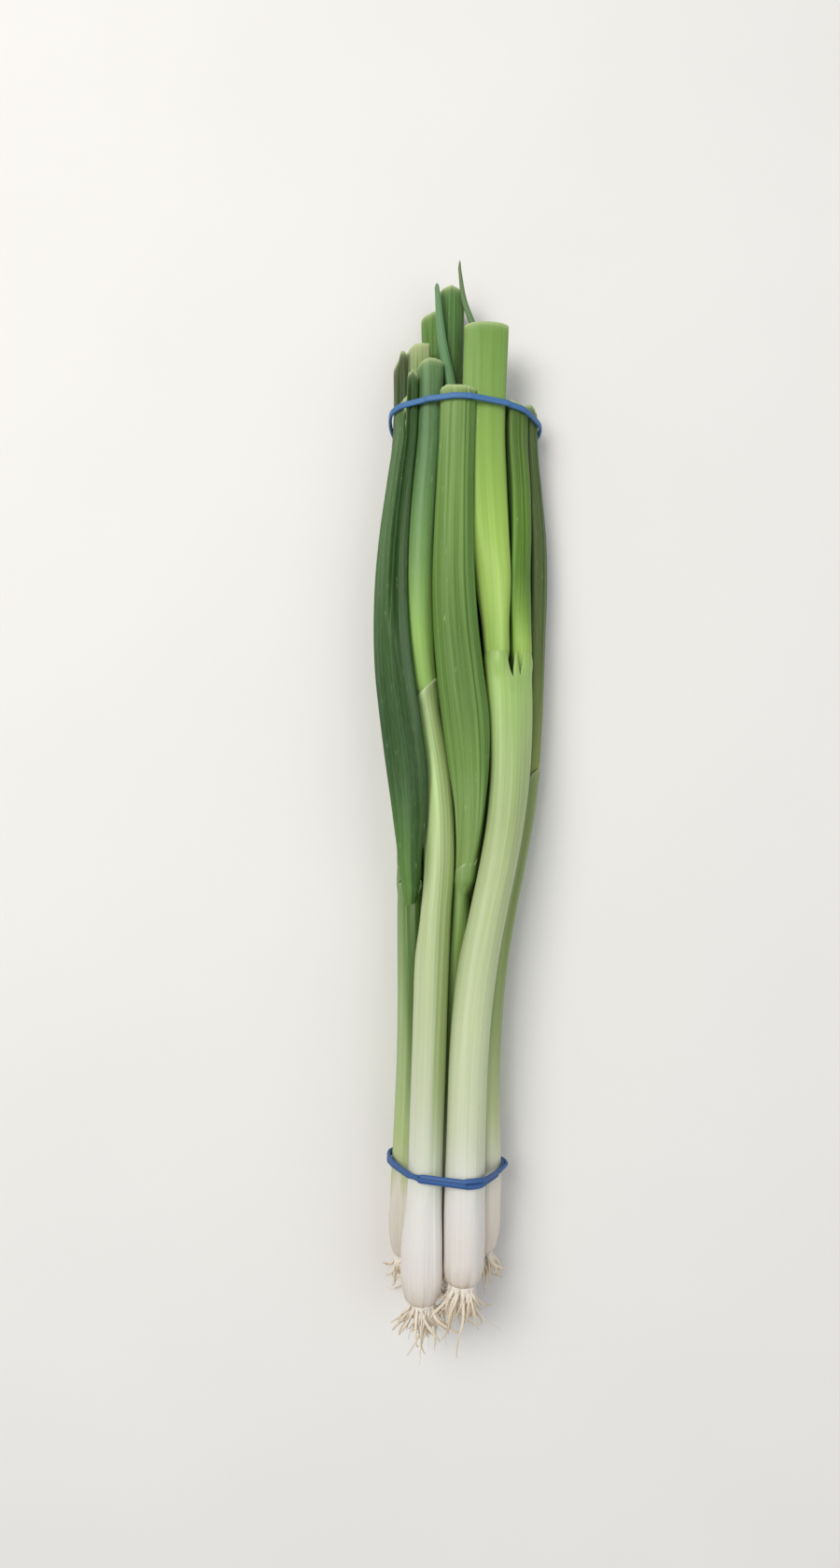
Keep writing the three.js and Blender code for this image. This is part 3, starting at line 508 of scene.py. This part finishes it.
# slot: the record's finish. cut: how far each side of the end stands above the knife
# line (side round the leaf, mm). creases: (side, depth, width, from, to along the bunch).
# dark: a strip of painted shade where a neighbouring leaf or a crease shades the leaf (side, half width,
# colour). stops: colours along the leaf.
# ribbed: how strong its ribs are, against 1. bloom: how waxy it is. point: a leaf that
# wasn't cut, and how far its tip runs on.
LEAVES = {
    "onion_1_tube_leaf": dict(
        slot="mid_leaf", cut=((0.25, -0.9), (0.5, 0.7), (0.75, -0.1)), creases=(), bloom=0.34, ribbed=0.35,
        stops=((26, "#a4c86e"), (38, "#9dc366"), (52, "#97bd60"), (74, "#769b56"), (95, "#62874f"),
               (112, "#567a4b"), (124, "#557749"), (132, "#61854f"))),
    "onion_1_pale_leaf": dict(
        slot="pale_leaf", cut=((0.25, -1.6), (0.45, 0.3), (0.75, 0.8)), bloom=0.1,
        creases=((0.5, 0.5, 0.02, 70, 150),),
        stops=((26, "#8a9f5d"), (90, "#78955b"), (120, "#819b61"), (133, "#90a56b"), (140, "#a3aa7b"))),
    "onion_2_bright_leaf": dict(
        slot="bright_leaf", cut=((0.25, 0.4), (0.42, 1.2), (0.6, 1.4), (0.75, 1.2)), bloom=0.06,
        creases=((0.36, 0.2, 0.03, 60, 150),), ribbed=0.35,
        stops=((34, "#a7c56e"), (46, "#a4c468"), (60, "#afcd6e"), (84, "#a8c864"), (104, "#97b95d"),
               (122, "#88ab59"), (142, "#7ca050"))),
    "onion_2_side_leaf": dict(
        slot="mid_leaf", cut=((0.25, 1.0), (0.75, -1.2)), bloom=0.08, dark=(0.31, 0.08, "#2c4420"),
        creases=((0.30, 1.7, 0.05, 40, 140), (0.56, 0.5, 0.02, 60, 125)),
        stops=((34, "#a4c060"), (52, "#98b957"), (60, "#779c3d"), (71, "#5a8029"), (90, "#628a2e"),
               (108, "#5c7a33"), (122, "#567231"))),
    "onion_3_dark_leaf": dict(
        slot="dark_leaf", bloom=0.2, ribbed=0.5, dark=(0.61, 0.11, "#20400d"),
        cut=((0.0, -3), (0.25, -8.5), (0.40, -7.0), (0.465, -7.8), (0.49, -13), (0.515, 1.5),
             (0.58, 3.2), (0.70, 1.0), (0.85, 0)),
        creases=((0.49, 1.1, 0.016, 46, 130), (0.56, 0.5, 0.014, 40, 130),
                 (0.38, 0.22, 0.02, -20, 130), (0.30, 0.15, 0.02, 20, 130)),
        stops=((-32, "#63893c"), (-12, "#557b39"), (8, "#335726"), (22, "#2b5021"), (36, "#2e5122"),
               (57, "#375b28"), (74, "#466637"), (95, "#4a6a3d"), (112, "#4c6b3c"), (128, "#476330"))),
    "onion_3_edge_leaf": dict(
        slot="dark_leaf", cut=((0.25, -3.5), (0.42, -2.0), (0.5, 1.5), (0.6, 0.5), (0.75, 2.0)), bloom=0.1,
        creases=((0.45, 0.5, 0.015, 60, 140),),
        stops=((-30, "#557034"), (30, "#3a5526"), (90, "#364d23"), (125, "#384b23"), (137, "#434a28"))),
    "onion_4_front_leaf": dict(
        slot="mid_leaf", cut=((0.25, -0.6), (0.35, 0.5), (0.6, 0.3), (0.75, -0.4)), bloom=0.12,
        creases=((0.625, 0.42, 0.012, -10, 126), (0.335, 0.35, 0.012, -20, 100), (0.45, 0.2, 0.02, 40, 126)),
        ribbed=0.9, dark=(0.675, 0.035, "#4c7030"),
        stops=((-28, "#819a52"), (5, "#7c9955"), (14, "#719247"), (30, "#63863d"), (51, "#5e8136"),
               (72, "#678a3e"), (93, "#6d8e41"), (112, "#71914a"), (124, "#79954d"))),
    "onion_4_long_leaf": dict(
        slot="mid_leaf", cut=((0.25, -0.8), (0.5, 0.9), (0.75, -0.9)), bloom=0.12,
        creases=((0.42, 0.4, 0.02, 100, 160),),
        stops=((-28, "#719145"), (60, "#44672e"), (110, "#3d5f28"), (135, "#456930"), (156, "#537a3c"))),
    "onion_4_tip_leaf": dict(
        slot="dark_leaf", point=1.5, bloom=0.3,
        stops=((20, "#88b068"), (100, "#5d8c57"), (130, "#628d60"), (156, "#6c916a"))),
    "onion_5_edge_leaf": dict(
        slot="dark_leaf", cut=((0.25, 0.8), (0.5, 1.2), (0.75, -2.2)), bloom=0.25,
        creases=((0.6, 0.5, 0.016, 20, 125), (0.8, 0.4, 0.02, 20, 125)),
        stops=((4, "#96a054"), (24, "#808d4d"), (50, "#65753f"), (75, "#566838"), (122, "#506334"))),
    "onion_5_inner_leaf": dict(
        slot="mid_leaf", cut=((0.25, -1), (0.6, 1)), bloom=0.1, creases=((0.5, 0.4, 0.02, 40, 125),),
        stops=((4, "#819b4e"), (60, "#496b2d"), (122, "#4e6e30"))),
    "onion_5_tip_leaf": dict(
        slot="dark_leaf", point=2.5, bloom=0.25,
        stops=((50, "#769856"), (120, "#517947"), (145, "#5b8251"), (164, "#69784f"))),
    "onion_6_under_leaf": dict(
        slot="mid_leaf", cut=((0.25, -1.5), (0.75, 1.2)), bloom=0.15,
        creases=((0.0, 0.4, 0.02, 40, 135), (0.5, 0.4, 0.02, 40, 135)),
        stops=((0, "#7e9a4b"), (50, "#597a3a"), (100, "#517139"), (131, "#607f47"))),
    "onion_6_long_leaf": dict(
        slot="mid_leaf", cut=((0.25, -1.9), (0.5, 0.2), (0.75, 1.9)), bloom=0.12,
        creases=((0.4, 0.3, 0.02, 110, 155),),
        stops=((0, "#799445"), (60, "#517230"), (120, "#537630"), (140, "#5d8537"), (152, "#64893a"))),
    "onion_7_long_leaf": dict(
        slot="mid_leaf", cut=((0.25, 0.9), (0.75, -1.4)), bloom=0.15, creases=((0.05, 0.4, 0.02, 40, 135),),
        stops=((10, "#769345"), (60, "#4f7134"), (134, "#56793d"))),
    "onion_7_under_leaf": dict(
        slot="mid_leaf", cut=((0.25, -0.5), (0.75, 1.5)), bloom=0.15, creases=((0.95, 0.5, 0.02, 40, 125),),
        stops=((10, "#769345"), (60, "#517437"), (122, "#5b7c3e"))),
}

for seed, (name, made) in enumerate(LEAVES.items()):
    chance = np.random.default_rng(100 + seed)
    levels, loops = outlines(name)
    start, end = levels[0], levels[-1]
    pointed = "point" in made
    ribbed = made.get("ribbed", 1)
    down = np.arange(start - TUCKED, start, 1.5)
    body = np.append(np.arange(start, end - 12, 1.5), np.linspace(end - 12, end, 12))
    at = np.append(down, body)
    rows = between(levels, loops, np.maximum(at, start))
    relief = (RIB_HEIGHT * ribbed * uneven(chance, at, (18, 32), 400)
              + WAVE_HEIGHT * uneven(chance, at, (2, 6), 70))
    for side, depth, width, low, high in made.get("creases", ()):
        away = (SIDES[None] - side - 0.008 * np.sin(at / 23 + seed)[:, None] + 0.5) % 1 - 0.5
        banks = 0.45 * np.exp(-((abs(away) - 2.2 * width) / width) ** 2)
        valley = np.exp(-(away / width) ** 2) - banks
        reached = ease(low, low + 25, at) * ease(high + 40, high, at)
        relief = relief - depth * valley * reached[:, None]
    relief = relief * (1 - 0.7 * ease(end - 7, end, at))[:, None]
    if not pointed:
        # Inside the sheath it narrows, and follows its own shank down.
        shank_levels, shank_loops = outlines(name[:8] + "shank")
        hearts = shank_loops.mean(axis=1)
        moved = np.interp(np.minimum(at, start), shank_levels, hearts)
        shrink = 1 - 0.35 * ease(start, start - TUCKED, at)
        rows = moved[:, None] + (rows - hearts[-1]) * shrink[:, None]
    size = np.clip(abs(rows - rows.mean(axis=1)[:, None]).mean(axis=1)[:, None] / 3.5, 0.05, 1)
    seated = ease(start, start + 5, at)[:, None]
    freed = ease(start + 4, start + 22, at)[:, None]
    drawn_in = (0.05 * (1 - freed) + 0.6 * (1 - seated)) * (not pointed)
    rows = pushed(rows, (LEAF_PROUD + relief) * freed * size - drawn_in)
    bottom = rows[0].mean()
    at = np.repeat(at[:, None], AROUND, 1)
    if pointed:
        heart = rows[-1].mean()
        shrink = np.array([0.8, 0.5])
        tips = heart + (rows[-1] - heart)[None] * shrink[:, None]
        tips_at = np.repeat([[end + made["point"] * 0.45], [end + made["point"] * 0.8]], AROUND, 1)
        rows, at = np.vstack([rows, tips]), np.vstack([at, tips_at])
        poles = [(bottom.real, at[0, 0], bottom.imag), (heart.real, end + made["point"], heart.imag)]
        cut = inside = np.zeros(rows.shape)
    else:
        sides, lifts = zip(*made["cut"])
        line = np.interp(SIDES, sides, lifts, period=1)
        torn = 0.18 if max(lifts) - min(lifts) > 5 else 0.05
        line = line + torn * uneven(chance, [0], (6, 24), 10)[0]
        at = at + line * ease(end - TRIMMED, end, at)
        lip = at[-1]
        below = np.array([0, 0.25, 0.7, 1.5, 3, 5, 8, 12, 17, 23, 29, HOLLOW])[:, None]
        inner_at = lip - line * ease(0, TRIMMED, below) - below
        outer = np.array([np.interp(inner_at[:, k], at[:, k], rows[:, k]) for k in range(AROUND)]).T
        wall = WALL * (0.8 + 0.5 * ease(0, HOLLOW, below)) * np.minimum(size[-1], 1)
        inner = pushed(outer, -wall)
        middle = pushed(rows[-1], -wall[0] * 0.5)[None]
        rounded_at = lip[None] + 0.16
        rows = np.vstack([rows, middle, inner])
        fading = np.exp(-below) * np.ones(AROUND)
        cut = np.vstack([np.exp(-(lip - at) / 0.7), np.ones((1, AROUND)), fading])
        inside = np.vstack([at * 0, np.full((1, AROUND), 0.5), np.ones(inner.shape)])
        at = np.vstack([at, rounded_at, inner_at])
        throat = inner[-1].mean()
        poles = [(bottom.real, at[0, 0], bottom.imag), (throat.real, inner_at[-1].mean(), throat.imag)]
    short_name = name.replace("onion_", "leaf_").replace("_leaf", "")
    leaf = wrapped(short_name, rows, at, poles, {"cut": cut, "inside": inside})

    skin, tree, shader = skin_of(leaf.name + "_skin")
    marks = wire(tree, "Group", {}, node_tree=streaks)
    marks.inputs["Seed"].default_value = 20 + seed
    streak, vein, scar = marks.outputs["Streak"], marks.outputs["Vein"], marks.outputs["Scar"]
    colour = ripening(tree, marks.outputs["Along"], streak, 18.0, made["stops"])
    colour = over(tree, spread(tree, streak, 0.62, 0.36, 0.0, 0.4), colour, tint("#b2c28a"), "MULTIPLY")
    # Painted shade: a darker strip along the leaf where its neighbour or a crease would shade it.
    if "dark" in made:
        side, width, painted_shade = made["dark"]
        off = sum_of(tree, "ABSOLUTE", sum_of(tree, "SUBTRACT", marks.outputs["Side"], side))
        strip = spread(tree, sum_of(tree, "MULTIPLY_ADD", vein, 0.03, off), width + 0.03, width)
        colour = over(tree, sum_of(tree, "MULTIPLY", strip, 0.75), colour, tint(painted_shade))
    pale = over(tree, 0.3, colour, tint("#c2d48c"))
    colour = over(tree, spread(tree, vein, 0.5, 0.72, 0.0, 0.4 * ribbed), colour, pale)
    furrow = spread(tree, vein, 0.45, 0.28, 0.0, 0.3 * ribbed)
    colour = over(tree, furrow, colour, tint("#93a868"), "MULTIPLY")
    wax = spread(tree, sum_of(tree, "MULTIPLY_ADD", scar, 0.5, streak), 0.6, 1.0, 0.0, made["bloom"] * 0.6)
    colour = over(tree, wax, colour, tint("#94ad90"))
    colour = over(tree, spread(tree, scar, 0.69, 0.76, 0.0, 0.5), colour, tint("#b4b98a"))
    hollow = wire(tree, "Attribute", {}, attribute_name="inside").outputs["Fac"]
    colour = over(tree, sum_of(tree, "MULTIPLY", hollow, 0.55), colour, tint("#b9cc94"))
    edge = wire(tree, "Attribute", {}, attribute_name="cut").outputs["Fac"]
    colour = over(tree, sum_of(tree, "MULTIPLY", edge, 0.8), colour, tint("#bccb96"))
    satin = spread(tree, sum_of(tree, "MULTIPLY_ADD", streak, 0.7, scar), 0.4, 1.2, 0.38, 0.55)
    height = sum_of(tree, "MULTIPLY_ADD", scar, 0.3, vein)
    bump = wire(tree, "Bump", {"Height": height, "Strength": 0.3, "Distance": 0.0002})
    tree.links.new(colour, shader.inputs["Base Color"])
    tree.links.new(satin, shader.inputs["Roughness"])
    tree.links.new(bump.outputs[0], shader.inputs["Normal"])
    shader.inputs["Specular IOR Level"].default_value = 0.22
    shader.inputs["Subsurface Weight"].default_value = 0.08
    shader.inputs["Subsurface Radius"].default_value = (0.5, 1.0, 0.25)
    shader.inputs["Subsurface Scale"].default_value = 0.0012
    leaf.data.materials.append(skin)
    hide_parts(name)
    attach(leaf, "root")


# ---------------------------------------------------------------- the rubber bands
# Two blue rubber bands hold the bunch. The upper one is a single thin loop. The lower
# one was wound on double, so two narrow turns lie side by side and twist over each
# other. Cut from moulded tube, matt, with a little powder on them.

BAND_STEPS = 360
BAND_SIDES = 16
SMOOTHED = 0.15              # how far round the bunch the middle line is evened out, in radians
UPPER_SECTION = (1.7, 1.0)   # width and thickness of the single turn
LOWER_SECTION = (1.45, 0.95)
UPPER_LIFT = 0.12            # how far its middle line is moved out from the plain model's
LOWER_LIFT = 0.2
WAVES = 1.5                  # how often the two lower turns change places in a round
BESIDE = 0.78                # how far each lies to the side of their middle line
OVER = 0.46                  # and how far over or under it where they cross
ROLL = 0.5                   # how far each rolls over as it crosses, in radians


def loop_of(node):
    """The middle line of a band of the model, in even steps of angle round the bunch."""
    spots = np.array([v.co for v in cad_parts[node].data.vertices]) / MM
    spots = np.unique(spots.round(3), axis=0)
    middle = (spots.min(axis=0) + spots.max(axis=0)) / 2
    turn = np.arctan2(spots[:, 2] - middle[2], spots[:, 0] - middle[0])
    want = np.linspace(-np.pi, np.pi, BAND_STEPS, endpoint=False)
    apart = (want[:, None] - turn[None] + np.pi) % (2 * np.pi) - np.pi
    share = np.exp(-(apart / SMOOTHED) ** 2)
    return share @ spots / share.sum(axis=1)[:, None]


def rubber(name, blue, dark):
    """Matt blue rubber, darker in patches, with a little pale powder on it."""
    skin, tree, shader = skin_of(name)
    grain = wire(tree, "TexNoise", {"Scale": 1400.0, "Detail": 4.0}).outputs[0]
    patch = wire(tree, "TexNoise", {"Scale": 220.0, "Detail": 3.0}).outputs[0]
    colour = over(tree, spread(tree, patch, 0.35, 0.7), tint(blue), tint(dark))
    colour = over(tree, spread(tree, grain, 0.55, 0.75, 0.0, 0.35), colour, tint("#8fb0cf"))
    bump = wire(tree, "Bump", {"Height": grain, "Strength": 0.35, "Distance": 0.0001})
    tree.links.new(colour, shader.inputs["Base Color"])
    tree.links.new(spread(tree, patch, 0.3, 0.7, 0.42, 0.62), shader.inputs["Roughness"])
    tree.links.new(bump.outputs[0], shader.inputs["Normal"])
    return skin


def band(name, node, spine, outward, along, width, thick, skin):
    """A strip with rounded edges round a closed line: along points across its width."""
    ring = np.linspace(0, 2 * np.pi, BAND_SIDES, endpoint=False)
    across = np.sign(np.cos(ring)) * abs(np.cos(ring)) ** 0.6 * width / 2
    rise = np.sign(np.sin(ring)) * abs(np.sin(ring)) ** 0.6 * thick / 2
    tube = spine[:, None] + across[None, :, None] * along[:, None] + rise[None, :, None] * outward[:, None]
    tube[..., 2] = np.maximum(tube[..., 2], TABLE_GAP)
    faces = []
    for row in range(len(spine)):
        this, following = row * BAND_SIDES, (row + 1) % len(spine) * BAND_SIDES
        for k in range(BAND_SIDES):
            after = (k + 1) % BAND_SIDES
            faces.append((this + k, this + after, following + after, following + k))
    mesh = bpy.data.meshes.new(name)
    mesh.from_pydata((tube.reshape(-1, 3) * MM).tolist(), [], faces)
    mesh.update()
    middle = Vector(spine.mean(axis=0) * MM)
    if sum(p.normal.dot(p.center - middle) * p.area for p in mesh.polygons) < 0:
        mesh.flip_normals()
    mesh.shade_smooth()
    mesh.materials.append(skin)
    piece = bpy.data.objects.new(name, mesh)
    bpy.context.collection.objects.link(piece)
    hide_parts(node)
    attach(piece, "root")


def square_to(spine):
    """Across the band and away from the bunch, at each step of a closed line."""
    ahead = np.roll(spine, -1, 0) - np.roll(spine, 1, 0)
    ahead /= np.linalg.norm(ahead, axis=1)[:, None]
    outward = np.cross(ahead, [0, 1.0, 0])
    outward /= np.linalg.norm(outward, axis=1)[:, None]
    outward *= np.sign((outward * (spine - spine.mean(axis=0))).sum())
    return outward, np.cross(outward, ahead)


upper = loop_of("upper_rubber_band")
away, along = square_to(upper)
band("upper_band", "upper_rubber_band", upper + away * UPPER_LIFT, away, along, *UPPER_SECTION,
     rubber("light_blue_rubber", "#3f72a6", "#34659a"))

turns = loop_of("lower_rubber_band")
away, along = square_to(turns)
twice = np.vstack([turns, turns])
away, along = np.vstack([away, away]), np.vstack([along, along])
phase = np.linspace(0, 4 * np.pi, 2 * BAND_STEPS, endpoint=False)
# One and a half waves to a round keep the second turn opposite the first all the way.
beside = BESIDE * np.cos(WAVES * phase)
over_under = OVER * np.sin(WAVES * phase)
wound = twice + along * beside[:, None] + away * (LOWER_LIFT + over_under)[:, None]
roll = ROLL * np.sin(WAVES * phase)[:, None]
outward = away * np.cos(roll) + along * np.sin(roll)
sideways = along * np.cos(roll) - away * np.sin(roll)
band("lower_band", "lower_rubber_band", wound, outward, sideways, *LOWER_SECTION,
     rubber("deep_blue_rubber", "#2d5b95", "#244d86"))


# ---------------------------------------------------------------- table, light, camera
# The bunch lies on a plain pale table. One large soft light stands to the upper left,
# a weaker one fills from the right, and the camera looks straight down from above.

table_mesh = bpy.data.meshes.new("table")
half = 2.0    # half the table's side, in metres
corners = [(-half, -half, 0), (half, -half, 0), (half, half, 0), (-half, half, 0)]
table_mesh.from_pydata(corners, [], [(0, 1, 2, 3)])
table = bpy.data.objects.new("table", table_mesh)
bpy.context.collection.objects.link(table)
paint, tree, shader = skin_of("table_paint")
grain = wire(tree, "TexNoise", {"Scale": 60.0, "Detail": 4.0}).outputs[0]
tree.links.new(over(tree, grain, tint("#e4e2de"), tint("#e9e7e3")), shader.inputs["Base Color"])
shader.inputs["Roughness"].default_value = 0.75
table_mesh.materials.append(paint)

# where each light stands and its size, both in metres, its strength and its colour
LIGHTS = {
    "key": ((-0.45, 0.35, 0.95), 0.6, 9.0, (1.0, 0.98, 0.95)),
    "fill": ((0.6, -0.2, 0.8), 0.9, 2.4, (0.93, 0.96, 1.0)),
}
for name, (place, size, strength, warmth) in LIGHTS.items():
    lamp = bpy.data.lights.new(name, "AREA")
    lamp.size, lamp.energy, lamp.color = size, strength, warmth
    held = bpy.data.objects.new(name, lamp)
    held.location = place
    held.rotation_euler = (-Vector(place)).to_track_quat("-Z", "Y").to_euler()
    bpy.context.collection.objects.link(held)

world = bpy.data.worlds.new("room")
world.use_nodes = True
world.node_tree.nodes["Background"].inputs[0].default_value = (0.95, 0.97, 1.0, 1)
world.node_tree.nodes["Background"].inputs[1].default_value = 0.38
bpy.context.scene.world = world
bpy.context.scene.view_settings.view_transform = "Standard"

eye = bpy.data.cameras.new("camera")
eye.lens, eye.sensor_width = 26, 36
camera = bpy.data.objects.new("camera", eye)
camera.location = (-0.0108, 0.0083, 0.350)
camera.rotation_euler = (0, 0, math.radians(1.45))
bpy.context.collection.objects.link(camera)
bpy.context.scene.camera = camera
